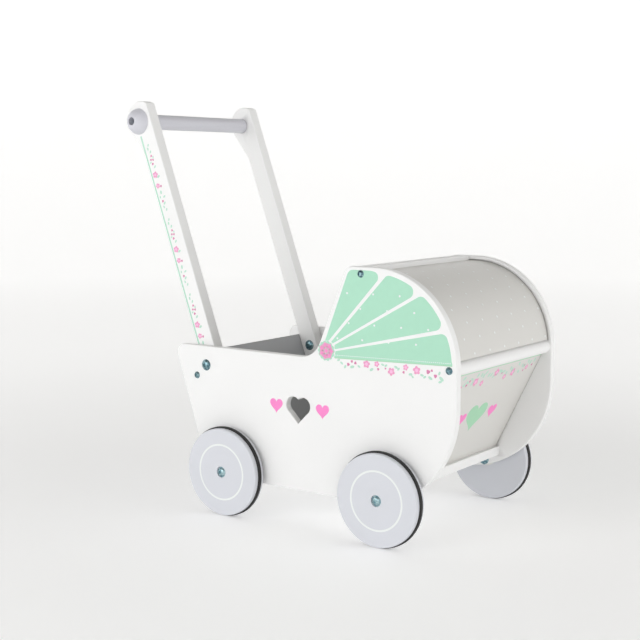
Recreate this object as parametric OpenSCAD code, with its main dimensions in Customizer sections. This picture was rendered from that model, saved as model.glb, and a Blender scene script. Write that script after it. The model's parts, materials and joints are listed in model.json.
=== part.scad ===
// Wooden doll's pram: two shaped side panels that clamp the grooved boards of a bucket and a
// rounded hood, a raked push handle and four rubber-ringed wheels on sleeve nuts.
// Millimetres. +Z is up, +X is the way the pram is pushed, the right side is at -Y.
// The origin lies on the floor, below the middle of the overall length.

/* [Overall] */
// Height of the handle tops above the floor
overall_h = 470; // [450:1:490]
// Width over the two side panels
body_w = 223; // [200:1:260]
// Thickness of a side panel
panel_t = 9; // [9:0.5:12]
// Depth of the grooves that hold the hood, front, floor and rear boards
groove_d = 4; // [3:0.5:5]
// Play round a board in its groove, on each face
groove_play = 0.2; // [0.1:0.05:0.3]
// Play round the thin hood sheet in its groove, on each face
sheet_play = 1; // [0.2:0.1:1.2]

/* [Side panels] */
// Distance from the wheelbase middle to the front of the hood
front_reach = 188; // [180:1:195]
// Distance from the wheelbase middle back to the bucket's top rear corner
rear_reach = 189; // [184:1:196]
// Distance from the wheelbase middle back to the bucket's bottom rear corner
foot_reach = 138; // [130:1:142]
// Height of the panels' bottom edge above the floor
bottom_z = 41; // [38:1:43]
// Height of the bucket's rim
rim_z = 190; // [186:1:196]
// Radius of the bow under the front of the body
bow_r = 110; // [95:1:112]
// Radius of the small outer corners
corner_r = 11; // [4:1:14]
// Width of the heart-shaped window
heart_w = 32; // [20:1:40]
// Place of the heart-shaped window, from the wheelbase middle and above the floor
heart_at = [-9, 130];

/* [Hood] */
// Height of the hood's top edge
hood_z = 290.5; // [285:0.5:296]
// Radius of the hood's front curve
hood_r = 98.5; // [92:0.5:99]
// Where the hood's rear edge meets the rim, from the wheelbase middle
hood_foot_x = 13; // [8:1:18]
// How far the hood's rear edge leans forward, in degrees
hood_lean = 22.5; // [18:0.5:26]
// Radius of the hollow between the rim and the hood's rear edge
hollow_r = 27; // [15:1:32]
// Thickness of the bent hood sheet
sheet_t = 3; // [2.5:0.1:3.2]
// How far the sheet lies inside the panels' edge
sheet_inset = 5; // [4:0.5:6]
// Side of the square top rail
top_rail_s = 15; // [12:0.5:16]
// Diameter of the round rod below the sheet
front_rod_d = 15; // [13:0.5:16]

/* [Bucket] */
// Thickness of the front board
front_t = 9; // [8:0.5:10]
// How far the front board leans forward, in degrees
front_lean = 26.4; // [25:0.2:28]
// Thickness of the floor board
floor_t = 10; // [8:0.5:10]
// Height of the floor board's upper face
floor_z = 69; // [69:0.5:72]
// Distance from the wheelbase middle to the floor board's front edge
floor_front = 124.5; // [124:0.5:128]
// Thickness of the rear board
rear_t = 12; // [9:0.5:12]
// Drop of the rear board's top below the rim
rear_drop = 9; // [5:0.5:15]

/* [Handle] */
// Lean of the handle arms from upright, in degrees
arm_lean = 20; // [18:0.5:21]
// Width of an arm
arm_w = 23; // [21:0.5:25]
// Thickness of an arm
arm_t = 15; // [13:0.5:16]
// Distance from the wheelbase middle back to the arm's centre line at the rim
arm_at_rim = 148.4; // [146:0.2:150]
// Radius of an arm's rounded head
head_r = 21; // [19:0.5:22]
// How far the head's centre lies behind the arm's centre line
head_back = 4; // [3:0.5:5]
// How far below the head's centre the neck begins
neck_l = 45; // [38:1:55]
// Diameter of the handle bar
bar_d = 18; // [16:0.5:20]
// How far the bar lies behind the arm's centre line
bar_back = 7.5; // [5:0.5:9]
// How far the bar lies below the head's centre, along the arm
bar_drop = 1.6; // [0:0.2:3]
// How deep the bar is let into each arm
bar_seat = 6; // [4:0.5:8]
// Radius of the ball that each end cap is cut from
cap_r = 15.6; // [14:0.2:18]
// How far an end cap stands out from its arm
cap_h = 12.6; // [9:0.1:13]

/* [Wheels] */
// Distance between the front and rear wheel centres
wheelbase = 209; // [200:1:214]
// Diameter over the rubber ring
wheel_d = 102; // [98:1:104]
// How far the rubber ring stands out of the wheel
ring_proud = 1.5; // [0.5:0.1:2.5]
// Width of the rubber ring
ring_w = 5; // [4:0.2:6]
// Depth of the ring's groove
ring_seat = 3; // [2:0.2:4]
// Thickness of a wheel
wheel_t = 15; // [12:0.5:18]
// Space between a wheel and its side panel
wheel_gap = 2.5; // [2:0.1:4]
// Rounding of a wheel's edges
wheel_edge_r = 1.5; // [0.5:0.1:2]
// Diameter of the hollow round the bolt head
hub_d = 12.6; // [12.4:0.1:14]
// Depth of the hollow round the bolt head
hub_depth = 2.4; // [1.6:0.2:6]
// Diameter of the sleeve that a wheel turns on
axle_d = 9; // [8.5:0.1:10]

/* [Fasteners] */
// Diameter of the wheel and arm bolts
bolt_d = 6; // [5:0.5:6]
// Diameter of the wheel bolts' heads
wheel_bolt_head_d = 10; // [9:0.5:11]
// Diameter of the arm bolts' domed heads
arm_bolt_head_d = 13; // [11:0.5:14]
// Diameter of the wood screws
screw_d = 4; // [3.5:0.1:4.5]
// Diameter of the wood screws' heads
screw_head_d = 8; // [7:0.5:9]
// Width across the hexagon sockets
socket_w = 4; // [3:0.5:4]

/* [Hidden] */
$fn = 96;

RIGHT = -1;
LEFT = 1;
SIDES = [RIGHT, LEFT];
WHITE = "#f3f3f2";
GREY = "#c9c8cd";
PALE = "#cdccc7";
DARK = "#77777a";
RUBBER = "#1a1a1c";
ZINC = "#7fa3ad";

fit = 0.05;      // radial play of a pin in its hole
open_cut = 1;    // how far a cutter runs past the face that it opens

inner_y = body_w / 2 - panel_t;          // half the width between the side panels
board_l = 2 * (inner_y + groove_d);      // length of a board that ends in the grooves
hood_c = [front_reach - hood_r, hood_z - hood_r];
bow_c = [front_reach - bow_r, bottom_z + bow_r];
sheet_r = hood_r - sheet_inset;
rod_c = [front_reach - front_rod_d / 2 - 1.5, rim_z + 1.5];
rail_x = hood_c[0] - 9.3 - top_rail_s / 2;
rail_z = hood_z - top_rail_s / 2;
hood_top_x = hood_foot_x + (hood_z - rim_z) * tan(hood_lean);

head_c = [-arm_at_rim - (overall_h - head_r - rim_z) * tan(arm_lean)
    - head_back / cos(arm_lean), overall_h - head_r];
arm_top = head_c + head_back * [cos(arm_lean), sin(arm_lean)];
bar_c = arm_top - bar_back * [cos(arm_lean), sin(arm_lean)]
    - bar_drop * [-sin(arm_lean), cos(arm_lean)];
arm_bolt_z = rim_z - 22;
arm_bolt_c = [-arm_at_rim + (rim_z - arm_bolt_z) * tan(arm_lean), arm_bolt_z];
rear_screw_z = rim_z - 35;
rail_places = [[rail_x, rail_z], rod_c];
rear_screw_c = [-arm_at_rim + (rim_z - rear_screw_z) * tan(arm_lean)
    - (arm_w + rear_t) / 2 / cos(arm_lean), rear_screw_z];
x_mid = (front_reach + head_c[0] - head_r) / 2;   // middle of the length, from the wheelbase's

axle_z = wheel_d / 2;
wheel_r = axle_z - ring_proud;
wheel_in = body_w / 2 + wheel_gap;       // distance of a wheel's inner face from the middle
wheel_out = wheel_in + wheel_t;
hub_floor = wheel_out - hub_depth;
washer_t = 1;
spacer_play = 0.3;
sleeve_d = 8;                            // diameter of the arms' sleeve nuts
sleeve_base = 2;                         // solid metal between a sleeve's bore and its head
head_h = 2.6;
arm_head_h = 3.2;
cap_hole_d = 9.4;                        // hollow in an end cap for its screw's head
cap_hole_floor = 3;                      // wood left under that hollow
screw_grip = 24;                         // length of a wood screw past the side panel

// ---------- tools: outlines ----------

// Unit vector from one point to another
function toward(a, b) = (b - a) / norm(b - a);
// The point before or after point i, going round the outline
function beside(pts, i, step) = pts[(i + step + len(pts)) % len(pts)];
// Half the angle inside corner i
function half_angle(pts, i) =
    acos(toward(pts[i], beside(pts, i, -1)) * toward(pts[i], beside(pts, i, 1))) / 2;
// Where the rounding of corner i touches the side towards its neighbour
function touch(pts, i, r, step) =
    pts[i] + toward(pts[i], beside(pts, i, step)) * r / tan(half_angle(pts, i));
// Centre of the rounding of corner i
function round_centre(pts, i, r) =
    let (mid = toward(pts[i], beside(pts, i, -1)) + toward(pts[i], beside(pts, i, 1)))
    pts[i] + mid / norm(mid) * r / sin(half_angle(pts, i));
// True where the outline, drawn anticlockwise, bulges outward
function bulges(pts, i) =
    cross(pts[i] - beside(pts, i, -1), beside(pts, i, 1) - pts[i]) > 0;

// The slice of a corner's circle between its two touching points
module corner_slice(pts, i, r) {
    centre = round_centre(pts, i, r);
    intersection() {
        translate(centre) circle(r);
        polygon([centre, touch(pts, i, r, -1), pts[i], touch(pts, i, r, 1)]);
    }
}

// An outline whose corners have the given radii, each a true arc
module rounded(pts, radii) {
    corners = [for (i = [0 : len(pts) - 1]) if (radii[i] > 0) i];
    difference() {
        union() {
            polygon([for (i = [0 : len(pts) - 1])
                each radii[i] > 0 ? [touch(pts, i, radii[i], -1), touch(pts, i, radii[i], 1)]
                                  : [pts[i]]]);
            for (i = corners) if (bulges(pts, i)) corner_slice(pts, i, radii[i]);
        }
        for (i = corners) if (!bulges(pts, i)) corner_slice(pts, i, radii[i]);
    }
}

// A heart of the given width, centred on its box: a square on its point with a round lobe on
// each upper side, a little wider than the side so that it covers the square's corners
module heart(w) {
    fullness = 1.03;
    h = w / 2 / (1 / sqrt(2) + fullness);
    translate([0, (sqrt(2) * h - w / 2) / 2]) {
        rotate(45) square(2 * h, center = true);
        for (s = SIDES) translate([s * h, h] / sqrt(2)) circle(fullness * h);
    }
}

// ---------- tools: placing ----------

// Moves a sub-part drawn about the wheelbase's middle to its place about the origin
module place() {
    translate([-x_mid, 0, 0]) children();
}

// Stands a side-view outline up as a slab that reaches from y to y + t
module upright(y, t) {
    translate([0, y + t, 0]) rotate([90, 0, 0]) linear_extrude(t) children();
}

// Draws a right-hand sub-part, or mirrors it to the left
module on_side(side) {
    if (side == RIGHT) children();
    else mirror([0, 1, 0]) children();
}

// Turns a part drawn along +Z so that it points inward from the right side, from (x, z) at y
module inward(at, y) {
    translate([at[0], y, at[1]]) rotate([-90, 0, 0]) children();
}

// Draws in the arm's own plane: the arm's centre line is the upright axis, 0 at the head
module arm_plane() {
    translate(arm_top) rotate(arm_lean) children();
}

// ---------- fasteners ----------

// A domed head with a hexagon socket, its flat side at z = 0 and its dome towards -Z
module domed_head(d, h) {
    dome_r = (d * d / 4 + h * h) / (2 * h);
    difference() {
        intersection() {
            translate([0, 0, dome_r - h]) sphere(dome_r);
            translate([0, 0, -h]) cylinder(h = h, d = d);
        }
        translate([0, 0, -h - open_cut])
            cylinder(h = h * 0.6 + open_cut, d = socket_w / cos(30), $fn = 6);
    }
}

// A domed bolt or screw that goes in towards +Z
module bolt(d, length, head_d, head_h) {
    domed_head(head_d, head_h);
    cylinder(h = length, d = d);
}

// A sleeve nut with a domed head, its sleeve open towards +Z
module sleeve_nut(d, length) {
    difference() {
        union() {
            domed_head(arm_bolt_head_d, head_h);
            cylinder(h = length, d = d);
        }
        translate([0, 0, sleeve_base]) cylinder(h = length, d = bolt_d + 2 * fit);
    }
}

// A round washer or spacer standing on z = 0
module ring(outer, inner, h) {
    difference() {
        cylinder(h = h, d = outer);
        translate([0, 0, -open_cut]) cylinder(h = h + 2 * open_cut, d = inner);
    }
}

// ---------- side-view outlines ----------

module side_outline() {
    rounded([
        [-foot_reach, bottom_z],
        [front_reach, bottom_z],
        [front_reach, hood_z],
        [hood_top_x, hood_z],
        [hood_foot_x, rim_z],
        [-rear_reach, rim_z]],
        [corner_r, bow_r, hood_r, corner_r, hollow_r, corner_r]);
}

// The bent sheet: flat behind the curve's centre, then round to just above the front rod.
// play widens it into its groove
module sheet_outline(play = 0) {
    end_angle = asin((rod_c[1] + front_rod_d / 2 - hood_c[1]) / sheet_r) + 0.3;
    outer = sheet_r + play;
    inner = sheet_r - sheet_t - play;
    far = 2 * sheet_r;
    translate(hood_c) {
        intersection() {
            difference() {
                circle(outer, $fn = 180);
                circle(inner, $fn = 180);
            }
            polygon([[0, 0], [far * cos(end_angle), far * sin(end_angle)], [far, far], [0, far]]);
        }
        translate([rail_x + top_rail_s / 2 - hood_c[0], inner])
            square([hood_c[0] - rail_x - top_rail_s / 2, outer - inner]);
    }
}

// The front board hangs from the front rod down to the floor board
module front_outline(play = 0) {
    intersection() {
        translate(rod_c) rotate(-front_lean)
            translate([-front_rod_d / 2 - play, -rim_z])
                square([front_t + 2 * play, rim_z - front_rod_d / 2 - 0.2]);
        translate([0, floor_z]) square([front_reach, rim_z]);
    }
}

// The floor board runs from behind the rear board to the front edge
module floor_outline(play = 0) {
    rear_x = -arm_at_rim + (rim_z - floor_z) * tan(arm_lean) - arm_w - rear_t;
    translate([rear_x, floor_z - floor_t - play])
        square([floor_front - rear_x, floor_t + 2 * play]);
}

// The rear board lies against the arms' rear edges and stands on the floor board
module rear_outline(play = 0) {
    top_w = (rim_z - rear_drop - arm_top[1] + arm_w / 2 * sin(arm_lean)) / cos(arm_lean);
    intersection() {
        arm_plane() translate([-arm_w / 2 - rear_t - play, top_w - rim_z])
            square([rear_t + 2 * play, rim_z]);
        translate([-overall_h, floor_z]) square([overall_h, rim_z]);
    }
}

// A straight arm, its head set back and joined to it by a slanting neck
module arm_outline() {
    neck = [-arm_w / 2, -neck_l];
    span = norm([neck[0] + head_back, neck_l]);
    slant = asin(head_r / span) + atan2(neck[0] + head_back, neck_l);
    run = sqrt(span * span - head_r * head_r);
    neck_top = neck + run * [-sin(slant), cos(slant)];
    arm_plane() {
        intersection() {
            translate([-head_back, 0]) circle(head_r);
            translate([-2 * head_r, -head_r])
                square([2 * head_r + arm_w / 2, 2 * head_r]);
        }
        polygon([neck, [arm_w / 2, -neck_l], [arm_w / 2, 0], [-head_back, 0], neck_top]);
        translate([-arm_w / 2, -overall_h]) square([arm_w, overall_h - neck_l]);
    }
}

// ---------- panels and boards ----------

module side_panel(side) {
    color(WHITE) place() on_side(side) difference() {
        upright(-body_w / 2, panel_t) side_outline();
        upright(-body_w / 2 - open_cut, panel_t + 2 * open_cut) translate(heart_at) heart(heart_w);
        upright(-inner_y - groove_d, groove_d + open_cut) {
            sheet_outline(sheet_play);
            front_outline(groove_play);
            floor_outline(groove_play);
            rear_outline(groove_play);
        }
        for (at = concat(rail_places, [rear_screw_c]))
            inward(at, -body_w / 2 - open_cut)
                cylinder(h = panel_t + 2 * open_cut, d = screw_d + 2 * fit);
        for (x = [-1, 1] * wheelbase / 2)
            inward([x, axle_z], -body_w / 2 - open_cut)
                cylinder(h = panel_t + 2 * open_cut, d = axle_d + 2 * fit);
        inward(arm_bolt_c, -body_w / 2 - open_cut)
            cylinder(h = panel_t + 2 * open_cut, d = bolt_d + 2 * fit);
    }
}

module hood_sheet() {
    color(PALE) place() upright(-board_l / 2, board_l) sheet_outline();
}

module front_panel() {
    color(PALE) place() upright(-board_l / 2, board_l) front_outline();
}

module floor_panel() {
    color(WHITE) place() upright(-board_l / 2, board_l) floor_outline();
}

module rear_panel() {
    color(DARK) place() difference() {
        upright(-board_l / 2, board_l) rear_outline();
        for (side = SIDES) on_side(side) inward(rear_screw_c, -inner_y - panel_t)
            cylinder(h = panel_t + screw_grip + 2, d = screw_d + 2 * fit);
    }
}

// ---------- rails ----------

module hood_top_rail() {
    color(WHITE) place() difference() {
        translate([rail_x - top_rail_s / 2, -inner_y, rail_z - top_rail_s / 2])
            cube([top_rail_s, 2 * inner_y, top_rail_s]);
        rail_screw_holes([rail_x, rail_z]);
    }
}

module hood_front_rod() {
    color(WHITE) place() difference() {
        inward(rod_c, -inner_y) cylinder(h = 2 * inner_y, d = front_rod_d);
        rail_screw_holes(rod_c);
    }
}

// ---------- handle ----------

module handle_arm(side) {
    color(WHITE) place() on_side(side) difference() {
        intersection() {
            upright(-inner_y, arm_t) arm_outline();
            translate([-overall_h, -body_w, floor_z]) cube([overall_h, 2 * body_w, overall_h]);
        }
        inward(arm_bolt_c, -inner_y - open_cut)
            cylinder(h = arm_t + 2 * open_cut, d = sleeve_d + 2 * fit);
        inward(bar_c, -inner_y - open_cut)
            cylinder(h = arm_t + 2 * open_cut, d = screw_d + 2 * fit);
        inward(bar_c, -inner_y + arm_t - bar_seat)
            cylinder(h = bar_seat + open_cut, d = bar_d + 0.6);
    }
}

module handle_bar() {
    reach = inner_y - arm_t + bar_seat;
    color(GREY) place() difference() {
        inward(bar_c, -reach) cylinder(h = 2 * reach, d = bar_d);
        for (side = SIDES) on_side(side) inward(bar_c, -reach - open_cut)
            cylinder(h = screw_grip + 2, d = screw_d + 2 * fit);
    }
}

module handle_cap(side) {
    sunk = cap_r - cap_h;
    color(GREY) place() on_side(side) inward(bar_c, -inner_y) difference() {
        translate([0, 0, sunk]) sphere(cap_r);
        translate([-cap_r, -cap_r, 0]) cube([2 * cap_r, 2 * cap_r, 3 * cap_r]);
        translate([0, 0, -2 * cap_r]) cylinder(h = 2 * cap_r + open_cut, d = screw_d + 2 * fit);
        translate([0, 0, -cap_r - cap_hole_floor]) cylinder(h = cap_r, d = cap_hole_d);
    }
}

// ---------- wheels ----------

// A turned wooden disc with softened edges, a groove for the ring and a hollow for the bolt
module wheel(x, side) {
    color(GREY) place() on_side(side) inward([x, axle_z], -wheel_out) rotate_extrude() {
        difference() {
            rounded([
                [axle_d / 2 + fit, 0],
                [wheel_r, 0],
                [wheel_r, wheel_t],
                [axle_d / 2 + fit, wheel_t]],
                [0, wheel_edge_r, wheel_edge_r, 0]);
            translate([wheel_r - ring_seat, (wheel_t - ring_w) / 2])
                square([2 * ring_seat, ring_w]);
            translate([0, -open_cut]) square([hub_d / 2, hub_depth + open_cut]);
        }
    }
}

module tyre(x, side) {
    bottom = wheel_r - ring_seat;
    color(RUBBER) place() on_side(side) inward([x, axle_z], -wheel_out) rotate_extrude()
        translate([0, (wheel_t - ring_w) / 2]) rounded([
            [bottom, 0], [axle_z, 0], [axle_z, ring_w], [bottom, ring_w]], [0, 1, 1, 0]);
}

// One copy of a right-hand fastener at every wheel
module at_wheels(y) {
    for (side = SIDES, x = [-1, 1] * wheelbase / 2)
        place() on_side(side) inward([x, axle_z], y) children();
}

module wheel_bolts() {
    reach = wheel_out - hub_depth + washer_t - inner_y;
    color(ZINC) at_wheels(-hub_floor - washer_t)
        bolt(bolt_d, reach - sleeve_base - 1, wheel_bolt_head_d, head_h);
}

module wheel_washers() {
    color(ZINC) at_wheels(-hub_floor - washer_t) ring(hub_d - 1, bolt_d + 2 * fit, washer_t);
}

module wheel_spacers() {
    color(WHITE) at_wheels(-wheel_in + spacer_play)
        ring(2 * axle_d, axle_d + 2 * fit, wheel_gap - spacer_play);
}

// The sleeve reaches from the panel's inner face out to the washer in the wheel's hollow
module axle_sleeve_nuts() {
    color(ZINC) at_wheels(-inner_y) rotate([180, 0, 0])
        sleeve_nut(axle_d, hub_floor - inner_y);
}

// ---------- other fasteners ----------

module rail_screw_holes(at) {
    for (side = SIDES) on_side(side) inward(at, -inner_y - open_cut)
        cylinder(h = screw_grip + 2, d = screw_d + 2 * fit);
}

module arm_bolts() {
    color(ZINC) place() for (side = SIDES) on_side(side) inward(arm_bolt_c, -body_w / 2)
        bolt(bolt_d, panel_t + arm_t - sleeve_base - 1, arm_bolt_head_d, arm_head_h);
}

module arm_sleeve_nuts() {
    color(ZINC) place() for (side = SIDES) on_side(side)
        inward(arm_bolt_c, -inner_y + arm_t) rotate([180, 0, 0]) sleeve_nut(sleeve_d, arm_t - 1);
}

module handle_screws() {
    color(ZINC) place() for (side = SIDES) on_side(side) inward(bar_c, -inner_y - cap_hole_floor)
        bolt(screw_d, cap_hole_floor + arm_t + 12, screw_head_d, head_h);
}

module hood_screws() {
    color(ZINC) place() for (side = SIDES, at = rail_places) on_side(side)
        inward(at, -body_w / 2) bolt(screw_d, panel_t + screw_grip, screw_head_d, head_h);
}

module rear_panel_screws() {
    color(ZINC) place() for (side = SIDES) on_side(side)
        inward(rear_screw_c, -body_w / 2) bolt(screw_d, panel_t + screw_grip, screw_head_d, head_h);
}

// ---------- the pram ----------

side_panel(RIGHT);  // side_panel_right
side_panel(LEFT);  // side_panel_left
hood_sheet();
hood_top_rail();
hood_front_rod();
front_panel();
floor_panel();
rear_panel();
handle_arm(RIGHT);  // handle_arm_right
handle_arm(LEFT);  // handle_arm_left
handle_bar();
handle_cap(RIGHT);  // handle_cap_right
handle_cap(LEFT);  // handle_cap_left
wheel(wheelbase / 2, RIGHT);  // wheel_front_right
wheel(wheelbase / 2, LEFT);  // wheel_front_left
wheel(-wheelbase / 2, RIGHT);  // wheel_rear_right
wheel(-wheelbase / 2, LEFT);  // wheel_rear_left
tyre(wheelbase / 2, RIGHT);  // tyre_front_right
tyre(wheelbase / 2, LEFT);  // tyre_front_left
tyre(-wheelbase / 2, RIGHT);  // tyre_rear_right
tyre(-wheelbase / 2, LEFT);  // tyre_rear_left
wheel_bolts();
wheel_washers();
wheel_spacers();
axle_sleeve_nuts();
arm_bolts();
arm_sleeve_nuts();
handle_screws();
hood_screws();
rear_panel_screws();
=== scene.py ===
# %% [markdown]
# # Finishing a wooden doll's pram
# The pram is a small cart of painted board: two shaped side panels clamp a bucket and a rounded
# hood, and a raked handle pushes it along on four wheels. Its joinery arrives as exact solids.
# This lesson gives them what a paint shop, a screen printer and a plating bath give the real
# thing: eased edges, lacquer, printed flowers, rubber and zinc.

# %% Load the pram's joinery
import json
import math
import random
import bmesh
import bpy
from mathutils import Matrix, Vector
from mathutils.geometry import tessellate_polygon


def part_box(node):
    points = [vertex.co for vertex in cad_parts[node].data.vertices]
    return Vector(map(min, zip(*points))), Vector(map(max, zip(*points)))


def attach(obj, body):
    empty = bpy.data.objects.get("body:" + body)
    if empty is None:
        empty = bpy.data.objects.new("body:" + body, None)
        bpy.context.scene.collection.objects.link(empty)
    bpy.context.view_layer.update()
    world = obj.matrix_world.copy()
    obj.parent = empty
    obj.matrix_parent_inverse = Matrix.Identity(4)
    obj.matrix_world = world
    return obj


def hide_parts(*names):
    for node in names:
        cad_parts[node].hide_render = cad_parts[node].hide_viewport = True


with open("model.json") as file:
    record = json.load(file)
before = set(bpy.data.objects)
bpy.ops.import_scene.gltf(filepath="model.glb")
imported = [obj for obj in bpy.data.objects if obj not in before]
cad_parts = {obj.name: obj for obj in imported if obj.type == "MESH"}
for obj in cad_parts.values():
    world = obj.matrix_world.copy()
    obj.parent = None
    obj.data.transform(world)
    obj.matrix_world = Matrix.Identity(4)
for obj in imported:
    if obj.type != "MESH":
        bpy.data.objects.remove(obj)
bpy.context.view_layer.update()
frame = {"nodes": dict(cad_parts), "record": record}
MM = 0.001

# %% [markdown]
# ## The camera
# A long lens keeps the pram's upright edges nearly parallel. The camera stands ahead and to the
# right of the pram, a little above its handle's middle, and looks down by seven degrees. It is
# turned by aiming its own -Z axis along the line of sight.

# %% Place the camera
EYE = (0.82492, -1.16438, 0.38937)
turn, dip = math.radians(35.973), math.radians(6.927)
sight = Vector((-math.sin(turn) * math.cos(dip), math.cos(turn) * math.cos(dip), -math.sin(dip)))
lens = bpy.data.cameras.new("catalogue_lens")
lens.lens, lens.sensor_width = 69.31, 36.0
camera = bpy.data.objects.new("catalogue_camera", lens)
camera.location = EYE
camera.rotation_mode = "QUATERNION"
camera.rotation_quaternion = sight.to_track_quat("-Z", "Y")
bpy.context.scene.collection.objects.link(camera)
bpy.context.scene.camera = camera
print("camera stands", round(camera.location.length, 2), "m from the pram")

# %% [markdown]
# ## Nodes written as arithmetic
# Materials and Geometry Nodes are both trees of boxes and wires. Building them by hand in a
# script is long, so one small class holds an output socket and turns `+`, `-`, `*` and `/` into
# Math nodes. A second class adds any other node: its settings first, then its sockets.

# %% A wire that can be calculated with
class Wire:
    def __init__(self, tree, socket):
        self.tree, self.socket = tree, socket

    def math(self, operation, a, b=0.0):
        return self.tree.add("ShaderNodeMath", {"operation": operation}, {0: a, 1: b})

    def __add__(self, other): return self.math("ADD", self, other)
    def __radd__(self, other): return self.math("ADD", other, self)
    def __sub__(self, other): return self.math("SUBTRACT", self, other)
    def __rsub__(self, other): return self.math("SUBTRACT", other, self)
    def __mul__(self, other): return self.math("MULTIPLY", self, other)
    def __rmul__(self, other): return self.math("MULTIPLY", other, self)
    def __truediv__(self, other): return self.math("DIVIDE", self, other)
    def __abs__(self): return self.math("ABSOLUTE", self)


class Tree:
    """A node tree with one way to add a node: its type, its settings, then its sockets."""

    def __init__(self, node_tree):
        self.nodes, self.links = node_tree.nodes, node_tree.links

    def add(self, kind, settings=None, sockets=None, out=0):
        node = self.nodes.new(kind)
        for key, value in (settings or {}).items():
            setattr(node, key, value)
        for key, value in (sockets or {}).items():
            if isinstance(value, Wire):
                self.links.new(value.socket, node.inputs[key])
            else:
                node.inputs[key].default_value = value
        return Wire(self, node.outputs[out])

# %% [markdown]
# ## Finishes
# Every finish is a Principled shader whose colour, roughness and fine relief come from noise in
# the object's own coordinates, so nothing needs unwrapping and nothing slides when a wheel turns.

# %% A finish and its three kinds of unevenness
class Finish(Tree):
    def __init__(self, name, constants=None):
        self.material = bpy.data.materials.new(name)
        self.material.use_nodes = True
        super().__init__(self.material.node_tree)
        self.nodes.clear()
        shader = self.nodes.new("ShaderNodeBsdfPrincipled")
        self.sockets = shader.inputs
        out = self.nodes.new("ShaderNodeOutputMaterial")
        self.links.new(shader.outputs[0], out.inputs[0])
        for key, value in (constants or {}).items():
            self.sockets[key].default_value = value
        self.where = self.add("ShaderNodeTexCoord", out="Object")

    def noise(self, size, detail=2.0, stretch=(1, 1, 1)):
        """Noise from 0 to 1 whose blobs are `size` metres across, drawn out by `stretch`."""
        spot = self.add("ShaderNodeMapping", sockets={
            "Vector": self.where, "Scale": [1 / (size * s) for s in stretch]})
        return self.add("ShaderNodeTexNoise", sockets={
            "Vector": spot, "Scale": 1.0, "Detail": detail})

    def between(self, mask, low, high):
        """The colour `low` where the mask is 0, and `high` where it is 1."""
        return self.add("ShaderNodeMix", {"data_type": "RGBA"}, {
            0: mask, 6: (*low, 1), 7: (*high, 1)}, out=2)

    def band(self, value, low, high):
        """0 below `low`, 1 above `high`, and a soft step between them."""
        return self.add("ShaderNodeMapRange", {"interpolation_type": "SMOOTHSTEP"}, {
            "Value": value, "From Min": low, "From Max": high})

    def wear(self, colour, roughness, height, depth):
        """Feeds the shader: a colour, a roughness, and a relief `depth` metres deep."""
        relief = self.add("ShaderNodeBump", sockets={
            "Height": height, "Distance": depth, "Strength": 1.0})
        for key, wire in (("Base Color", colour), ("Roughness", roughness), ("Normal", relief)):
            self.links.new(wire.socket, self.sockets[key])
        return self.material


def shade(colour, factor):
    return [min(1.0, c * factor) for c in colour]

# %% [markdown]
# ### Lacquer on board
# Sprayed lacquer is never quite flat: it clouds a little over a hand's width, dries with a faint
# orange peel about a millimetre across, and shows the board's fibres as tiny nibs. The peel
# drives the relief and, less strongly, the roughness, because its hollows stay glossier.

# %% Mix the lacquers
def lacquer(name, colour, gloss, peel_mm=1.3, cloud=0.025, fibre=(1, 1, 1)):
    f = Finish(name, {"Specular IOR Level": 0.4})
    drift = f.noise(70 * MM)
    peel = f.noise(peel_mm * MM, 3.0, fibre)
    nibs = f.band(f.noise(0.5 * MM, 1.0), 0.62, 0.78)
    tone = f.between(drift * 0.7 + peel * 0.3, shade(colour, 1 - cloud), shade(colour, 1 + cloud))
    dull = gloss + 0.10 * (peel - 0.5) + 0.06 * (drift - 0.5) + 0.05 * nibs
    return f.wear(tone, dull, peel + 0.35 * nibs, 0.03 * MM)


finishes = {
    "white_paint": lacquer("white_lacquer", (0.90, 0.90, 0.895), 0.40),
    "pale_paint": lacquer("pale_grey_lacquer", (0.71, 0.70, 0.67), 0.32, 1.6),
    # The rear board takes a mid-grey lacquer, made darker still as painted shade for the shadowed
    # inside of the bucket.
    "dark_paint": lacquer("slate_lacquer_painted_shade", (0.53, 0.54, 0.56), 0.45),
    "grey_paint": lacquer("turned_grey_lacquer", (0.65, 0.65, 0.70), 0.36, 1.0, 0.04, (1, 7, 1)),
    "wheel_paint": lacquer("wheel_grey_lacquer", (0.69, 0.705, 0.75), 0.42, 1.1, 0.03),
}
print("lacquers:", ", ".join(finishes))

# %% [markdown]
# ### Rubber, zinc and nylon
# The rings are cut from extruded rubber: nearly black, with a dry bloom over a fine tooth. The
# fasteners are zinc plated and passivated, in a thin film that drifts between teal and straw, so
# a noise a few millimetres across mixes the two, and a finer one scuffs the gloss. The wheels'
# bolts and washers keep the light film. The panels' fasteners take a darker copy of the same
# plating, which is painted shade: they differ only in the light they reflect. The spacers behind
# the wheels are natural nylon.

# %% Mix the rubber, the plating and the nylon
rubber = Finish("ring_rubber", {"Specular IOR Level": 0.35})
bloom, tooth = rubber.noise(9 * MM, 3.0), rubber.noise(0.45 * MM, 3.0)
finishes["rubber_ring"] = rubber.wear(
    rubber.between(bloom, (0.014, 0.014, 0.015), (0.040, 0.039, 0.038)),
    0.62 + 0.18 * bloom, tooth, 0.05 * MM)


def plating(name, teal, straw):
    """A passivated film that drifts from one colour to the other."""
    zinc = Finish(name, {"Metallic": 1.0})
    film, scuff = zinc.noise(2.6 * MM, 2.0), zinc.noise(0.25 * MM, 4.0)
    return zinc.wear(zinc.between(zinc.band(film, 0.35, 0.70), teal, straw),
                     0.24 + 0.16 * scuff, scuff, 0.012 * MM)


finishes["zinc"] = plating("passivated_zinc", (0.24, 0.42, 0.48), (0.56, 0.72, 0.73))
# The same plating made darker, as painted shade for the panels' fasteners.
shaded_zinc = plating("passivated_zinc_painted_shade", (0.10, 0.19, 0.23), (0.34, 0.50, 0.53))

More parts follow.
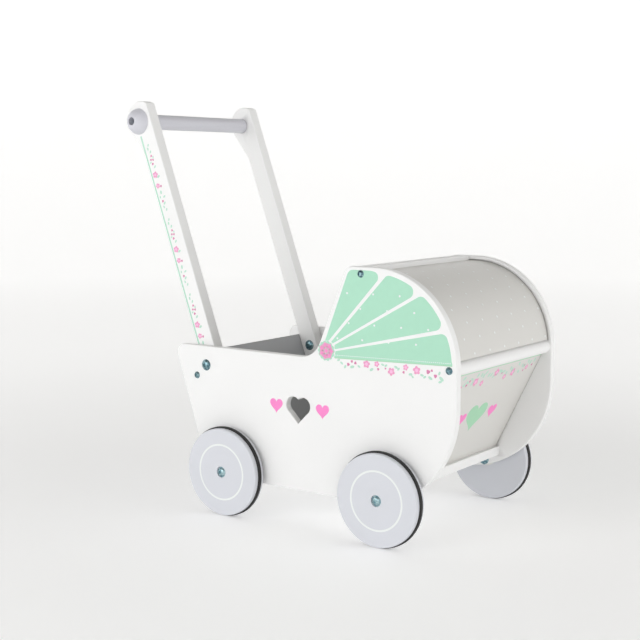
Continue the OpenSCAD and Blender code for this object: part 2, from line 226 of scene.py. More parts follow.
nylon = Finish("natural_nylon", {"Subsurface Weight": 0.1})
milky, grain = nylon.noise(5 * MM), nylon.noise(0.4 * MM)
finishes["nylon"] = nylon.wear(
    nylon.between(milky, (0.74, 0.74, 0.70), (0.84, 0.84, 0.81)), 0.5 + 0.1 * grain,
    grain, 0.02 * MM)

# %% [markdown]
# ### Printing inks
# Screen ink lies on the lacquer as a skin a tenth of a millimetre thick, and the screen's mesh
# leaves it slightly mottled. Three of the inks are only tints of another: blush for a flower's
# eye, berry for a bud and a paler mint for leaves.

# %% Mix the inks
def ink(name, colour, mottle=0.05):
    f = Finish(name, {"Specular IOR Level": 0.35})
    patch, mesh = f.noise(6 * MM), f.noise(0.55 * MM, 2.0)
    tone = f.between(patch * 0.5 + mesh * 0.5, shade(colour, 1 - mottle), shade(colour, 1 + mottle))
    return f.wear(tone, 0.45 + 0.15 * mesh, mesh, 0.015 * MM)


inks = {
    "mint_ink": ink("mint_print", (0.43, 0.75, 0.575)),
    "green_ink": ink("green_print", (0.40, 0.70, 0.48)),
    "pink_ink": ink("pink_print", (0.97, 0.27, 0.62)),
    "rose_ink": ink("rose_print", (0.85, 0.36, 0.58)),
    "white_ink": ink("white_print", (0.86, 0.89, 0.88), 0.03),
    "blush_ink": ink("blush_print", (0.95, 0.55, 0.78)),
    "berry_ink": ink("berry_print", (0.68, 0.24, 0.42)),
    "leaf_ink": ink("leaf_print", (0.50, 0.75, 0.62)),
}
print(len(finishes) + 1, "finishes and", len(inks), "inks")

# %% [markdown]
# ## Painting the joinery
# Each solid names the paint that it takes. A solid whose shape is already right keeps its mesh,
# and only the material in its slot changes. Metal that isn't on a wheel takes the darker copy of
# the plating, whose extra darkness is painted shade.

# %% Give every solid its finish
slot_of = {s["node"]: s["material_slot"] for s in frame["record"]["subparts"]}
body_of = {node: body for body, nodes in frame["record"]["behaviour"]["bodies"].items()
           for node in nodes}
for node, solid in frame["nodes"].items():
    panel_bolt = slot_of[node] == "zinc" and "wheel" not in node
    for i in range(len(solid.data.materials)):
        solid.data.materials[i] = shaded_zinc if panel_bolt else finishes[slot_of[node]]
print("painted", len(slot_of), "solids")

# %% [markdown]
# ## Two small helpers
# Every new object has to be linked into the scene, and every modifier has to be turned into
# plain mesh before the piece is handed over. Both take a line or two that is worth writing once.

# %% Hang an object, settle its modifiers
def hang(name, data):
    """Puts a mesh or a lamp into the scene under a name, at the origin."""
    obj = bpy.data.objects.new(name, data)
    bpy.context.scene.collection.objects.link(obj)
    return obj


def settle(obj):
    """Applies an object's modifiers, so that a plain mesh stays."""
    mesh = bpy.data.meshes.new_from_object(
        obj.evaluated_get(bpy.context.evaluated_depsgraph_get()))
    obj.modifiers.clear()
    obj.data = mesh

# %% [markdown]
# ## Eased edges
# Nobody leaves a sharp edge on a toy: each board's arris is rounded over before it is sprayed,
# and that rounding catches a thin line of light. A Bevel modifier does this well on a clean box,
# and poorly on a drilled board whose flat faces are many thin triangles. So a board's flat face
# is lifted off, the wall below it is lowered by the radius, and a quarter round of a few steps
# leads up to a smaller face that is filled again round its holes. First the face's edge loops
# have to be found, and only the outline and the heart are rounded: a groove's mouth and a
# screw's hole stay crisp.

# %% Find the edge loops of a board's flat face
SMALL_HOLE = 70 * MM


def flat_loops(shape, y):
    """The faces that lie in the plane at y, and the closed runs of corners round them."""
    flat = {f for f in shape.faces if abs(f.normal.y) > 0.999
            and abs(f.calc_center_median().y - y) < 0.01 * MM}
    rim = {e for f in flat for e in f.edges if sum(g in flat for g in e.link_faces) == 1}
    ahead = {}
    for f in flat:
        for corner in f.loops:
            if corner.edge in rim:
                ahead[corner.vert] = corner.link_loop_next.vert
    loops = []
    while ahead:
        run = [next(iter(ahead))]
        while run[-1] in ahead:
            run.append(ahead.pop(run[-1]))
        loops.append(run[:-1])
    return flat, loops


def goes_through(run, thickness):
    """True for the outline and the heart: not for a groove's mouth, nor for a screw's hole."""
    wall = [e for e in run[0].link_edges
            if abs(e.verts[0].co.y - e.verts[1].co.y) > 0.8 * thickness]
    around = sum((a.co - b.co).length for a, b in zip(run, run[1:] + run[:1]))
    return bool(wall) and around > SMALL_HOLE

# %% [markdown]
# Where two straight edges meet, the rounding has to step inward along the line that halves their
# corner, a little further than the radius, or the band would narrow there. That is its miter.

# %% Round a flat face over, and fill it again
def round_over(shape, y, radius, thickness, steps=4):
    """Rounds a board's face at y. Each corner steps inward along its miter."""
    flat, loops = flat_loops(shape, y)
    inward = -1 if next(iter(flat)).normal.y > 0 else 1
    keep = [goes_through(run, thickness) for run in loops]
    bmesh.ops.delete(shape, geom=list(flat), context="FACES_ONLY")
    face_runs = []
    for run, rounded in zip(loops, keep):
        if not rounded:
            face_runs.append(run)
            continue
        aim = []
        for i, vert in enumerate(run):
            before, after = run[i - 1].co, run[(i + 1) % len(run)].co
            sides = [(q - p).normalized().cross(Vector((0, inward, 0)))
                     for p, q in ((before, vert.co), (vert.co, after))]
            miter = (sides[0] + sides[1]) / max(0.4, 1 + sides[0].dot(sides[1]))
            aim.append((vert.co.copy(), miter))
        last = run
        for vert in run:
            vert.co.y += inward * radius
        for step in range(1, steps + 1):
            angle = math.pi / 2 * step / steps
            aside, deep = radius * (1 - math.cos(angle)), radius * (1 - math.sin(angle))
            ring = [shape.verts.new(co + miter * aside + Vector((0, inward * deep, 0)))
                    for co, miter in aim]
            for i in range(len(run)):
                j = (i + 1) % len(run)
                shape.faces.new((last[i], last[j], ring[j], ring[i]))
            last = ring
        face_runs.append(last)
    corners = [vert for run in face_runs for vert in run]
    for trio in tessellate_polygon([[vert.co for vert in run] for run in face_runs]):
        if len(set(trio)) == 3:
            shape.faces.new([corners[i] for i in trio])


def ease(node, radius_mm):
    """Makes an eased copy of a board, which stands for the sharp one."""
    mesh = frame["nodes"][node].data.copy()
    shape = bmesh.new()
    shape.from_mesh(mesh)
    bmesh.ops.remove_doubles(shape, verts=shape.verts, dist=0.001 * MM)
    shape.normal_update()
    low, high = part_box(node)
    for y in (low.y, high.y):
        round_over(shape, y, radius_mm * MM, high.y - low.y)
    bmesh.ops.delete(shape, geom=[e for e in shape.edges if not e.link_faces], context="EDGES")
    bmesh.ops.delete(shape, geom=[v for v in shape.verts if not v.link_faces], context="VERTS")
    bmesh.ops.recalc_face_normals(shape, faces=shape.faces)
    gaps = sum(not e.is_manifold for e in shape.edges)
    shape.to_mesh(mesh)
    shape.free()
    mesh.shade_smooth()
    mesh.set_sharp_from_angle(angle=math.radians(35))
    board = hang(node + "_eased", mesh)
    flat = board.modifiers.new("flat_faces", "WEIGHTED_NORMAL")
    flat.weight, flat.keep_sharp = 100, True
    settle(board)
    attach(board, body_of[node])
    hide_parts(node)
    print(node, "rounded over:", len(board.data.polygons), "faces,", gaps, "open edges")


for board, radius_mm in (("side_panel_", 1.3), ("handle_arm_", 1.2)):
    for side in ("right", "left"):
        ease(board + side, radius_mm)

# %% [markdown]
# ## Where the print goes
# A printed mark is drawn flat, in millimetres, and then laid on a face of the pram. Each face
# gets a function that takes a place (u, v) on it and a height above it, and gives a point in
# space. On the side panels u runs ahead of the wheelbase's middle, and v up from the floor.

# %% The faces that are printed
front_hub = sum(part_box("wheel_front_right"), Vector()) / 2
rear_hub = sum(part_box("wheel_rear_right"), Vector()) / 2
mid_x = (front_hub.x + rear_hub.x) / 2
panel_low, panel_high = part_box("side_panel_right")
arm_low, arm_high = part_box("handle_arm_right")
LEAN = math.radians(20)        # the arms lean back from upright
SLOPE = math.radians(26.4)     # the front board leans back under the hood
ARM_FOOT_MM = (-148.4, 190)    # where the arms' middle line meets the bucket's rim
HOOD_R_MM, PANEL_R_MM = 93.5, 98.5
BOARD_FRONT_MM = 1.5           # the front board's face stands this far ahead of its rod's axis
rod = sum(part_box("hood_front_rod"), Vector()) / 2
hood_centre = Vector((panel_high.x - PANEL_R_MM * MM, 0, panel_high.z - PANEL_R_MM * MM))


def panel_face(side):
    """The outer face of the right (-1) or left (1) side panel."""
    return lambda u, v, h=0.0: Vector((mid_x + u * MM, side * (-panel_low.y + h * MM), v * MM))


def arm_face(side):
    """u runs forward from the arm's middle line, and v up along it from the bucket's rim."""
    foot = Vector((mid_x + ARM_FOOT_MM[0] * MM, 0, ARM_FOOT_MM[1] * MM))
    across = Vector((math.cos(LEAN), 0, math.sin(LEAN)))
    along = Vector((-math.sin(LEAN), 0, math.cos(LEAN)))
    return lambda u, v, h=0.0: (foot + (across * u + along * v) * MM
                                + Vector((0, side * (-arm_low.y + h * MM), 0)))


def front_face(u, v, h=0.0):
    """u runs to the pram's left, and v down the leaning board from its rod."""
    down = Vector((-math.sin(SLOPE), 0, -math.cos(SLOPE)))
    out = Vector((math.cos(SLOPE), 0, -math.sin(SLOPE)))
    return rod + out * (BOARD_FRONT_MM + h) * MM + down * v * MM + Vector((0, u * MM, 0))


def hood_face(u, v, h=0.0):
    """u runs to the pram's left, and v round the hood's curve from its rod."""
    angle = v / HOOD_R_MM
    return (hood_centre + Vector((math.cos(angle), 0, math.sin(angle))) * (HOOD_R_MM + h) * MM
            + Vector((0, u * MM, 0)))


print("wheelbase", round((front_hub.x - rear_hub.x) / MM, 1), "mm, middle at x", round(mid_x, 4))

# %% [markdown]
# ## Flat shapes of ink
# A patch of ink is an outline laid on a face and given the ink's thickness, as a closed skin.
# Fills, lines and hearts differ only in their outline, so one function prints them all.

# %% Print outlines as thin closed skins
INK_MM = 0.10      # one pass of ink
SUNK_MM = 0.02     # how far a patch's underside lies inside the lacquer


def inked(obj, ink_name, body):
    """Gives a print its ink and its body."""
    if not obj.data.materials:
        obj.data.materials.append(inks[ink_name])
    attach(obj, body)
    return obj


def as_object(name, shape):
    """Turns a finished bmesh into an object, with its faces looking outward."""
    bmesh.ops.recalc_face_normals(shape, faces=shape.faces)
    mesh = bpy.data.meshes.new(name)
    shape.to_mesh(mesh)
    shape.free()
    return hang(name, mesh)


def print_patches(name, face, outlines, slot, body="chassis", height=INK_MM):
    """Prints any number of outlines in one ink, as one piece."""
    shape = bmesh.new()
    for outline in outlines:
        low = [shape.verts.new(face(u, v, -SUNK_MM)) for u, v in outline]
        top = [shape.verts.new(face(u, v, height)) for u, v in outline]
        shape.faces.new(top)
        shape.faces.new(low[::-1])
        for i in range(len(outline)):
            j = (i + 1) % len(outline)
            shape.faces.new((low[i], low[j], top[j], top[i]))
    return inked(as_object(name, shape), slot, body)


def ribbon(line, width):
    """The outline of a line of ink of the given width along a run of points."""
    sides = ([], [])
    for i, point in enumerate(line):
        a, b = Vector(line[max(i - 1, 0)]), Vector(line[min(i + 1, len(line) - 1)])
        across = Vector((a.y - b.y, b.x - a.x)).normalized() * width / 2
        for edge, sign in zip(sides, (1, -1)):
            edge.append(tuple(Vector(point) + sign * across))
    return sides[0] + sides[1][::-1]


def heart(u, v, width, height, steps=40):
    """A heart with its point down, centred on (u, v)."""
    out = []
    for i in range(steps):
        t = 2 * math.pi * i / steps
        x = 16 * math.sin(t) ** 3
        y = 13 * math.cos(t) - 5 * math.cos(2 * t) - 2 * math.cos(3 * t) - math.cos(4 * t)
        out.append((u + x * width / 32, v + (y + 2.5) * height / 29))
    return out


def round_off(points, radii, steps=7):
    """Rounds the corners of an outline: each takes its own radius, 0 for a sharp one."""
    out = []
    for i, (point, r) in enumerate(zip(points, radii)):
        here = Vector(point)
        if r == 0:
            out.append(tuple(here))
            continue
        a = (Vector(points[i - 1]) - here).normalized()
        b = (Vector(points[(i + 1) % len(points)]) - here).normalized()
        half = math.acos(max(-1, min(1, a.dot(b)))) / 2
        centre = here + (a + b).normalized() * r / math.sin(half)
        start, end = here + a * r / math.tan(half), here + b * r / math.tan(half)
        for s in range(steps + 1):
            ray = (start - centre).lerp(end - centre, s / steps)
            out.append(tuple(centre + ray.normalized() * r))
    return out

# %% [markdown]
# ## The fan on the hood's side
# Four mint leaves spread from a posy of flowers like the ribs of a folding hood. Each leaf lies
# between two straight rays and ends on a circle a few millimetres inside the panel's edge; its
# outer corners are rounded so that the row of leaves is scalloped. The bare lacquer between two
# leaves is the rib.

# %% Rays and arcs of the fan
FAN_CENTRE, FAN_R = Vector((89.5, 192.0)), 92.8


def reach(start, through):
    """Where the ray from one point through another meets the fan's outer circle."""
    start = Vector(start)
    along = (Vector(through) - start).normalized()
    b = along.dot(start - FAN_CENTRE)
    c = (start - FAN_CENTRE).length_squared - FAN_R ** 2
    return start + along * (-b + math.sqrt(b * b - c))


def rim_points(a, b, steps=10):
    """Points on the outer circle strictly between two points on it."""
    angles = [math.atan2(*(p - FAN_CENTRE).yx) for p in (a, b)]
    turns = [angles[0] + (angles[1] - angles[0]) * i / steps for i in range(1, steps)]
    return [FAN_CENTRE + FAN_R * Vector((math.cos(t), math.sin(t))) for t in turns]


def fan_leaf(left, right, corner=7.0):
    """A leaf between two rays, each given by its start at the posy and a point further out."""
    a, b = reach(*left), reach(*right)
    rim = [p for p in rim_points(a, b, 14)
           if (p - a).length > corner * 0.8 and (p - b).length > corner * 1.7]
    return round_off([left[0], a, *rim, b, right[0]],
                     [0, corner, *[0] * len(rim), corner, 0])

# %% [markdown]
# The two middle leaves follow the rule. The first ends square under the hood's top rail, and the
# last is cut along the hem, so these two list their corners.

# %% Print the fan
first_end = tuple(reach((32.1, 210.1), (96.4, 280.2)))
first_leaf = round_off([(27.4, 209.7), (57.9, 286.9), (85.0, 286.9), first_end, (32.1, 210.1)],
                       [0, 8, 22, 6, 0])
last_start = reach((41.1, 199.6), (170.7, 228.1))
last_rim = rim_points(last_start, Vector((183.2, 196.6)), 8)[2:]
last_leaf = round_off([(41.1, 199.6), last_start, *last_rim, (183.2, 196.6), (39.2, 192.3)],
                      [0, 7, *[0] * len(last_rim), 1.5, 0])
leaves = [first_leaf, fan_leaf(((35.5, 209.3), (100.4, 278.5)), ((37.3, 207.5), (137.5, 264.3))),
          fan_leaf(((39.8, 206.1), (139.8, 261.5)), ((39.8, 201.5), (170.7, 232.4))), last_leaf]
for side, name in ((-1, "right"), (1, "left")):
    print_patches("fan_" + name, panel_face(side), leaves, "mint_ink")
    print_patches("fan_hem_" + name, panel_face(side),
                  [ribbon([(40.0, 192.4), (182.6, 196.7)], 1.1)], "green_ink", height=0.14)
    print_patches("panel_hearts_" + name, panel_face(side),
                  [heart(-38.5, 132, 17.5, 16), heart(24, 132, 17.5, 16)], "pink_ink")
print("fan leaves have", [len(leaf) for leaf in leaves], "points")

# %% [markdown]
# ## Small marks by Geometry Nodes
# Flowers, dots, stitches and leaves are one mark printed many times. The tree takes bare points
# that carry a size, a turn and the way their face looks, and puts a thin round plate on each.
# The plate's rim follows a rule: pull it in between a number of lobes and it is a flower, leave
# it round and it is a dot, draw it out and it is a leaf or a stitch.

# %% Build the tree that prints a mark on every point
def mark_tree():
    group = bpy.data.node_groups.new("printed_mark", "GeometryNodeTree")
    face = group.interface
    face.new_socket("Spots", in_out="INPUT", socket_type="NodeSocketGeometry")
    for name, kind, value in (("Lobes", "Float", 5.0), ("Notch", "Float", 0.3),
                              ("Length", "Float", 1.0), ("Thickness", "Float", INK_MM * MM),
                              ("Corners", "Int", 30)):
        socket = face.new_socket(name, in_out="INPUT", socket_type="NodeSocket" + kind)
        socket.default_value = value
    face.new_socket("Ink", in_out="INPUT", socket_type="NodeSocketMaterial")
    face.new_socket("Print", in_out="OUTPUT", socket_type="NodeSocketGeometry")
    t = Tree(group)
    given = group.nodes.new("NodeGroupInput")
    take = {name: Wire(t, given.outputs[name]) for name in
            ("Spots", "Lobes", "Notch", "Length", "Thickness", "Corners", "Ink")}
    plate = t.add("GeometryNodeMeshCylinder", {"fill_type": "NGON"}, {
        "Vertices": take["Corners"], "Radius": 1.0, "Depth": take["Thickness"]})
    at = t.add("GeometryNodeInputPosition")
    x, y, z = (t.add("ShaderNodeSeparateXYZ", sockets={0: at}, out=i) for i in range(3))
    angle = y.math("ARCTAN2", y, x)
    pull = 1 - take["Notch"] * (1 - abs(angle.math("COSINE", angle * take["Lobes"] / 2)))
    spread = t.add("ShaderNodeCombineXYZ", sockets={
        0: x * pull * take["Length"], 1: y * pull, 2: z + take["Thickness"] / 2})
    plate = t.add("GeometryNodeSetPosition", sockets={"Geometry": plate, "Position": spread})
    size, roll, look = (t.add("GeometryNodeInputNamedAttribute", {"data_type": kind}, {
        "Name": name}) for name, kind in (
        ("size", "FLOAT"), ("turn", "FLOAT"), ("facing", "FLOAT_VECTOR")))
    stand = t.add("FunctionNodeAlignRotationToVector", {"axis": "Z"}, {"Vector": look})
    spin = t.add("FunctionNodeAxisAngleToRotation", sockets={"Axis": (0, 0, 1), "Angle": roll})
    turned = t.add("FunctionNodeRotateRotation", {"rotation_space": "LOCAL"}, {
        "Rotation": stand, "Rotate By": spin})
    placed = t.add("GeometryNodeInstanceOnPoints", sockets={
        "Points": take["Spots"], "Instance": plate, "Rotation": turned,
        "Scale": t.add("ShaderNodeCombineXYZ", sockets={0: size, 1: size, 2: 1.0})})
    solid = t.add("GeometryNodeRealizeInstances", sockets={"Geometry": placed})
    coloured = t.add("GeometryNodeSetMaterial", sockets={
        "Geometry": solid, "Material": take["Ink"]})
    group.links.new(coloured.socket, group.nodes.new("NodeGroupOutput").inputs[0])
    return group


MARKS = mark_tree()
print("mark tree has", len(MARKS.nodes), "nodes")

# %% [markdown]
# The points are a mesh with no faces. Their attributes are written from a plain list: a place on
# the face in millimetres, a radius, and a turn in degrees. The modifier's inputs are set by
# their identifiers before anything is evaluated, and the result is kept as a plain mesh.

# %% Stamp a list of marks
def stamp(name, face, marks, slot, lobes=0.0, notch=0.0, length=1.0, corners=16,
          height=INK_MM, body="chassis"):
    """Prints one mark at every place in the list, as one piece."""
    mesh = bpy.data.meshes.new(name)
    mesh.from_pydata([face(u, v) for u, v, r, a in marks], [], [])
    for key, kind, values in (
            ("size", "FLOAT", [r * MM for u, v, r, a in marks]),
            ("turn", "FLOAT", [math.radians(a) for u, v, r, a in marks]),
            ("facing", "FLOAT_VECTOR", [c for u, v, r, a in marks
                                        for c in (face(u, v, 1) - face(u, v)).normalized()])):
        layer = mesh.attributes.new(key, kind, "POINT")
        layer.data.foreach_set("vector" if kind == "FLOAT_VECTOR" else "value", values)
    print_run = hang(name, mesh)
    nodes = print_run.modifiers.new("marks", "NODES")
    nodes.node_group = MARKS
    chosen = {"Lobes": float(lobes), "Notch": float(notch), "Length": float(length),
              "Thickness": height * MM, "Corners": corners, "Ink": inks[slot]}
    for item in MARKS.interface.items_tree:
        if item.in_out == "INPUT" and item.name in chosen:
            nodes[item.identifier] = chosen[item.name]
    settle(print_run)
    return inked(print_run, slot, body)


def posies(name, face, flowers, buds, sprigs):
    """Flowers with blush eyes, berry buds and pale sprigs, as four print runs."""
    stamp(name + "_petals", face, flowers, "rose_ink", lobes=5, notch=0.34, corners=30)
    stamp(name + "_eyes", face, [(u, v, r * 0.42, a) for u, v, r, a in flowers], "blush_ink",
          height=0.15, corners=12)
    stamp(name + "_buds", face, buds, "berry_ink", lobes=3, notch=0.3, corners=18)
    stamp(name + "_sprigs", face, sprigs, "leaf_ink", length=1.8, corners=12)
    return len(flowers) + len(buds) + len(sprigs)

# %% [markdown]
# ## The garland, the posy and the dots on the side panels
# Below the fan hangs a loose row of flowers, large ones singly and small ones between, with buds
# and pale leaves round them. The posy at the fan's hub is a close ring of the same flower. White
# dots stand on the mint in staggered rows, and a row of stitches runs along its lower edge.

# %% Print the side panels' small marks
GARLAND = [(80.5, 189.4, 4.3, 10), (111.1, 184.4, 4.4, 50), (141.5, 188.6, 4.6, 25),
           (93.2, 190.6, 3.2, 70), (128.4, 190.4, 3.3, 5)]
BUDS = [(57.5, 187.0, 1.9, 0), (62.0, 190.6, 1.6, 40), (66.5, 189.2, 1.7, 80),
        (95.0, 185.4, 1.5, 20), (126.0, 185.2, 1.5, 60), (155.0, 188.4, 2.4, 10),
        (163.5, 184.8, 2.1, 30), (159.2, 190.0, 1.4, 75), (104.0, 187.0, 1.1, 15)]
SPRIGS = [(45, 190.5, 1.1, 20), (49, 187.6, 1.2, -35), (53.5, 184.2, 1.2, 60),
          (62.5, 184.8, 1.5, 15), (71.0, 186.0, 1.1, -30), (86.8, 184.2, 1.4, 30),
          (100.5, 190.6, 1.1, -20), (104.5, 190.0, 1.1, 35), (116.8, 189.4, 1.3, -25),
          (119.8, 187.8, 1.1, 50), (134.2, 183.8, 1.3, 10), (136.6, 181.6, 1.0, -50),
          (147.8, 184.2, 1.2, -15), (151.0, 182.6, 1.1, 35), (157.6, 182.2, 1.5, -30),
          (168.0, 188.0, 1.2, 65), (170.4, 182.6, 1.7, -40), (169.0, 179.4, 1.2, 20)]
HUB, HUB_RING = (29, 199), 6.2
POSY = [(*HUB, 3.4, 0)] + [
    (HUB[0] + HUB_RING * math.cos(a), HUB[1] + HUB_RING * math.sin(a), 3.5, math.degrees(a))
    for a in (2 * math.pi * i / 7 for i in range(7))]
DOTS = [(55.7, 262.1), (88.3, 262.7), (120.6, 262.7), (72.5, 246.6), (138.0, 246.7),
        (58.0, 230.7), (89.9, 230.5), (122.6, 230.5), (43.5, 213.5), (75.0, 214.0),
        (107.5, 214.2), (140.4, 214.7), (105.5, 246.4), (154.5, 230.8)]
STITCH, HEM_RISE = 2.4, 0.026
STITCHES = [(41 + i * STITCH, 195.4 + i * STITCH * HEM_RISE, 0.45, 0) for i in range(59)]
for side, name in ((-1, "right"), (1, "left")):
    face = panel_face(side)
    count = posies("garland_" + name, face, GARLAND, BUDS, SPRIGS)
    stamp("posy_ground_" + name, face, [(*HUB, 10.9, 0)], "mint_ink", 14, 0.1, corners=84,
          height=0.12)
    stamp("posy_petals_" + name, face, POSY, "rose_ink", 5, 0.34, corners=30, height=0.17)
    stamp("posy_eyes_" + name, face, [(u, v, 1.2, 0) for u, v, r, a in POSY], "pink_ink",
          corners=12, height=0.21)
    stamp("fan_dots_" + name, face, [(u, v, 1.15, 0) for u, v in DOTS], "white_ink",
          corners=16, height=0.16)
    stamp("fan_stitches_" + name, face, STITCHES, "white_ink", length=1.9, corners=8, height=0.16)
    print(name, "panel:", count, "marks in the garland")

# %% [markdown]
# ## The arms' border
# A pale mint line follows each arm's rear edge, and one spray of flowers is repeated three times
# beside it, so the spray is written once and moved up the arm by its spacing.

# %% Print the arms
SPRAY_STEP = 91.6
SPRAYS_FROM, SPRAYS_TO = 2, 245
SPRAY = [(-4.5, 25.0, 4.0, 15), (-5.2, 11.6, 3.2, 50)]
SPRAY_BUDS = [(-2.8, 47.7, 1.5, 0), (-4.8, 43.5, 1.4, 30), (-1.6, 42.6, 1.4, 60),
              (-3.8, 38.2, 1.6, 10), (-0.8, 9.8, 1.5, 40), (-4.2, -7.6, 1.6, 20)]
SPRAY_LEAVES = [(-2.2, 52.5, 1.1, 70), (-5.0, 57.0, 1.1, 110), (-3.0, 61.0, 1.0, 80),
                (-1.6, 34.0, 1.1, 60), (-0.6, 21.5, 1.3, 35), (-3.4, 3.0, 1.3, 100),
                (-2.4, -10.5, 1.2, 60), (-4.8, -14.5, 1.0, 120), (-2.0, -18.5, 1.0, 80),
                (-0.6, 45.4, 0.9, 100), (-6.2, 40.5, 0.9, 60), (-0.2, -3.2, 1.1, 40),
                (-6.4, -2.0, 0.9, 110)]


def up_the_arm(marks):
    """Repeats a spray's marks up the arm and drops those past its ends."""
    return [(u, v + SPRAY_STEP * i, r, a) for i in range(3) for u, v, r, a in marks
            if SPRAYS_FROM < v + SPRAY_STEP * i < SPRAYS_TO]


for side, name in ((-1, "right"), (1, "left")):
    count = posies("arm_spray_" + name, arm_face(side), up_the_arm(SPRAY),
                   up_the_arm(SPRAY_BUDS), up_the_arm(SPRAY_LEAVES))
    print(name, "arm:", count, "marks in its sprays")
    print_patches("arm_line_" + name, arm_face(side),
                  [ribbon([(-10.1, 1.5), (-10.1, 258.0)], 2.3)], "leaf_ink")

# %% [markdown]
# ## The front board and the hood
# The leaning front board carries a green line under its rod, a shorter garland and three hearts.
# The hood's thin sheet is sprinkled with white dots, as far apart as those on the fan.

# %% Print the front board
print_patches("front_line", front_face, [ribbon([(-101, 9.2), (101, 9.2)], 1.6)], "green_ink")
print_patches("front_green_heart", front_face,
              [[(u, -v) for u, v in heart(1.5, -76.7, 42.5, 36)]], "green_ink")
print_patches("front_pink_hearts", front_face,
              [[(u, -v) for u, v in heart(x, -74.7, 18.5, 17)] for x in (-30.5, 38)], "pink_ink")
FRONT_FLOWERS = [(-40.0, 23.8, 5.2, 0), (2.4, 18.4, 5.0, 40), (44.6, 24.4, 5.2, 20),
                 (-24.0, 27.8, 3.8, 15), (27.4, 27.6, 3.6, 70), (76.2, 22.6, 3.2, 35),
                 (-84.0, 21.5, 5.0, 5), (-71.0, 27.0, 3.6, 50)]
FRONT_BUDS = [(-58.6, 25.1, 1.9, 0), (-54.5, 20.5, 1.6, 30), (68.0, 19.0, 1.5, 60),
              (70.5, 26.0, 1.4, 10), (88.0, 21.0, 1.7, 20), (17.0, 21.5, 1.3, 15)]
rng = random.Random(7)
FRONT_SPRIGS = [(-88 + i * 6.1 + rng.uniform(-2, 2), 14 + rng.uniform(0, 12), 1.6,
                 rng.uniform(-70, 70)) for i in range(30)]
count = posies("front_garland", front_face, FRONT_FLOWERS, FRONT_BUDS, FRONT_SPRIGS)
print("front board:", count, "marks in its garland")

# %% [markdown]
# The hood's dots are the same mark again. Their rows are counted round the curve, so the face
# function bends them, and every second row starts half a step aside.

# %% Sprinkle the hood sheet
DOT_STEP, ROW_STEP, FIRST_ROW, HALF_WIDTH = 32.5, 16.3, 12, 98
HOOD_DOTS = [(-3 * DOT_STEP + DOT_STEP / 2 * (row % 2) + DOT_STEP * i,
              FIRST_ROW + ROW_STEP * row, 1.3, 0) for row in range(8) for i in range(7)]
HOOD_DOTS = [dot for dot in HOOD_DOTS if abs(dot[0]) < HALF_WIDTH]
stamp("hood_dots", hood_face, HOOD_DOTS, "white_ink", corners=12)
print(len(HOOD_DOTS), "dots on the hood")

# %% [markdown]
# ## The wheels' printed ring
# Each wheel's outer face has one thin white ring. It is a flat band with a hole, so it is built
# as a strip of quads round the circle, closed top and bottom, and it rides on its own wheel.

# %% Print the wheels
def wheel_ring(node, radius, width, turns=96):
    """A printed ring on a wheel's outer face, closed like a flat washer."""
    low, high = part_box(node)
    side = 1 if low.y > 0 else -1
    hub = (low + high) / 2
    outer_y = high.y if side > 0 else low.y
    angles = [2 * math.pi * i / turns for i in range(turns)]
    inner, outer = radius - width / 2, radius + width / 2
    shape = bmesh.new()
    loops = [[shape.verts.new((hub.x + r * MM * math.cos(a), outer_y + side * h * MM,
                               hub.z + r * MM * math.sin(a))) for a in angles]
             for r, h in ((inner, -SUNK_MM), (outer, -SUNK_MM), (outer, INK_MM), (inner, INK_MM))]
    for a, b in zip(loops, loops[1:] + loops[:1]):
        for i in range(turns):
            j = (i + 1) % turns
            shape.faces.new((a[i], a[j], b[j], b[i]))
    return inked(as_object(node + "_ring", shape), "white_ink", body_of[node])


for end in ("front", "rear"):
    for side in ("left", "right"):
        print(wheel_ring("wheel_" + end + "_" + side, 31.3, 2.0).name)

# %% [markdown]
# ## The studio
# The pram stands in a round white sweep: a floor that curves up into a wall on every side, so
# there is no far edge wherever one looks from. Its paper glows a little, and more strongly away
# from the pram, which keeps the wall white and yet leaves soft shadows on the floor.

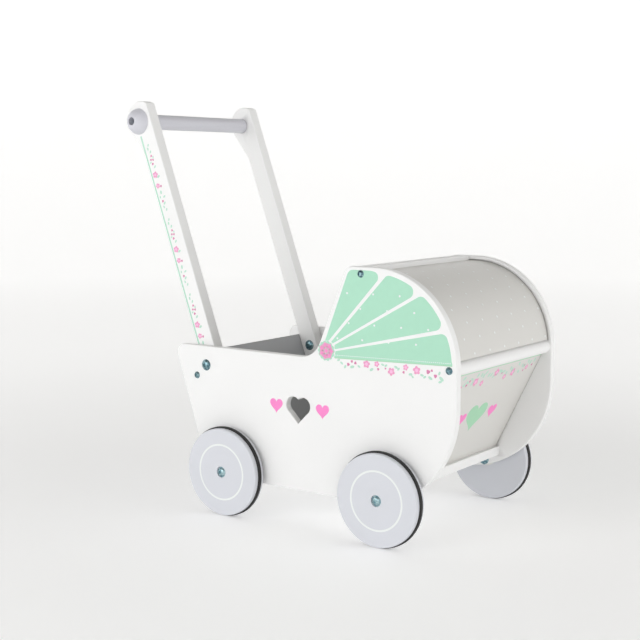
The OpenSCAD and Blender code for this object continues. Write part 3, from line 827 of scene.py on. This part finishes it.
# %% Raise the sweep
def sweep():
    """A round floor that bends up into a wall, in paper that glows a little."""
    floor_r, bend, top, turns = 3.2, 1.2, 3.0, 64
    profile = [(floor_r * 0.4, 0.0), (floor_r, 0.0)]
    profile += [(floor_r + bend * math.sin(t), bend - bend * math.cos(t))
                for t in (math.pi / 2 * i / 16 for i in range(1, 17))]
    profile.append((floor_r + bend, top))
    angles = [2 * math.pi * i / turns for i in range(turns)]
    verts = [(r * math.cos(a), r * math.sin(a), z) for r, z in profile for a in angles]
    faces = [tuple(range(turns))]
    for ring in range(len(profile) - 1):
        for i in range(turns):
            j = (i + 1) % turns
            faces.append((ring * turns + j, ring * turns + i,
                          (ring + 1) * turns + i, (ring + 1) * turns + j))
    mesh = bpy.data.meshes.new("studio_sweep")
    mesh.from_pydata(verts, [], faces)
    mesh.shade_smooth()
    paper = Finish("studio_paper", {"Specular IOR Level": 0.1, "Emission Strength": 0.36})
    away = paper.add("ShaderNodeVectorMath", {"operation": "LENGTH"}, {0: paper.where}, out=1)
    glow = paper.between(paper.band(away, 0.3, 1.4), (0.70, 0.70, 0.70), (1, 1, 1))
    paper.links.new(glow.socket, paper.sockets["Emission Color"])
    fibre = paper.noise(0.8 * MM)
    paper.wear(paper.between(fibre, (0.93, 0.93, 0.93), (0.95, 0.95, 0.95)), 0.9 + 0.05 * fibre,
               fibre, 0.01 * MM)
    mesh.materials.append(paper.material)
    hang("studio_sweep", mesh)
    return len(faces)


print("sweep of", sweep(), "faces")

# %% [markdown]
# A broad lamp low on the pram's right gives the side panel its brightness and leaves the hood's
# top in half tone. A weaker lamp ahead lights the front board and the arms' front edges. The
# lamps are faintly cool and the room faintly warm, so that shadows turn warm and lit paint stays
# neutral.

# %% Hang the lamps and set the room
def lamp(name, place, power, size):
    """A square lamp that looks at the pram's middle."""
    data = bpy.data.lights.new(name, "AREA")
    data.energy, data.size, data.color = power, size, (0.97, 0.98, 1.0)
    obj = hang(name, data)
    obj.location = place
    obj.rotation_mode = "QUATERNION"
    obj.rotation_quaternion = (Vector((0, 0, 0.2)) - obj.location).to_track_quat("-Z", "Y")


lamp("broad_lamp", (-0.6, -2.4, 0.85), 16.0, 1.5)
lamp("front_lamp", (2.3, 0.3, 0.55), 8.6, 1.4)
world = bpy.data.worlds.new("pale_room")
world.use_nodes = True
sky = world.node_tree.nodes["Background"].inputs
sky["Color"].default_value = (1, 0.975, 0.92, 1)
sky["Strength"].default_value = 0.26
bpy.context.scene.world = world
bpy.context.scene.view_settings.view_transform = "Standard"
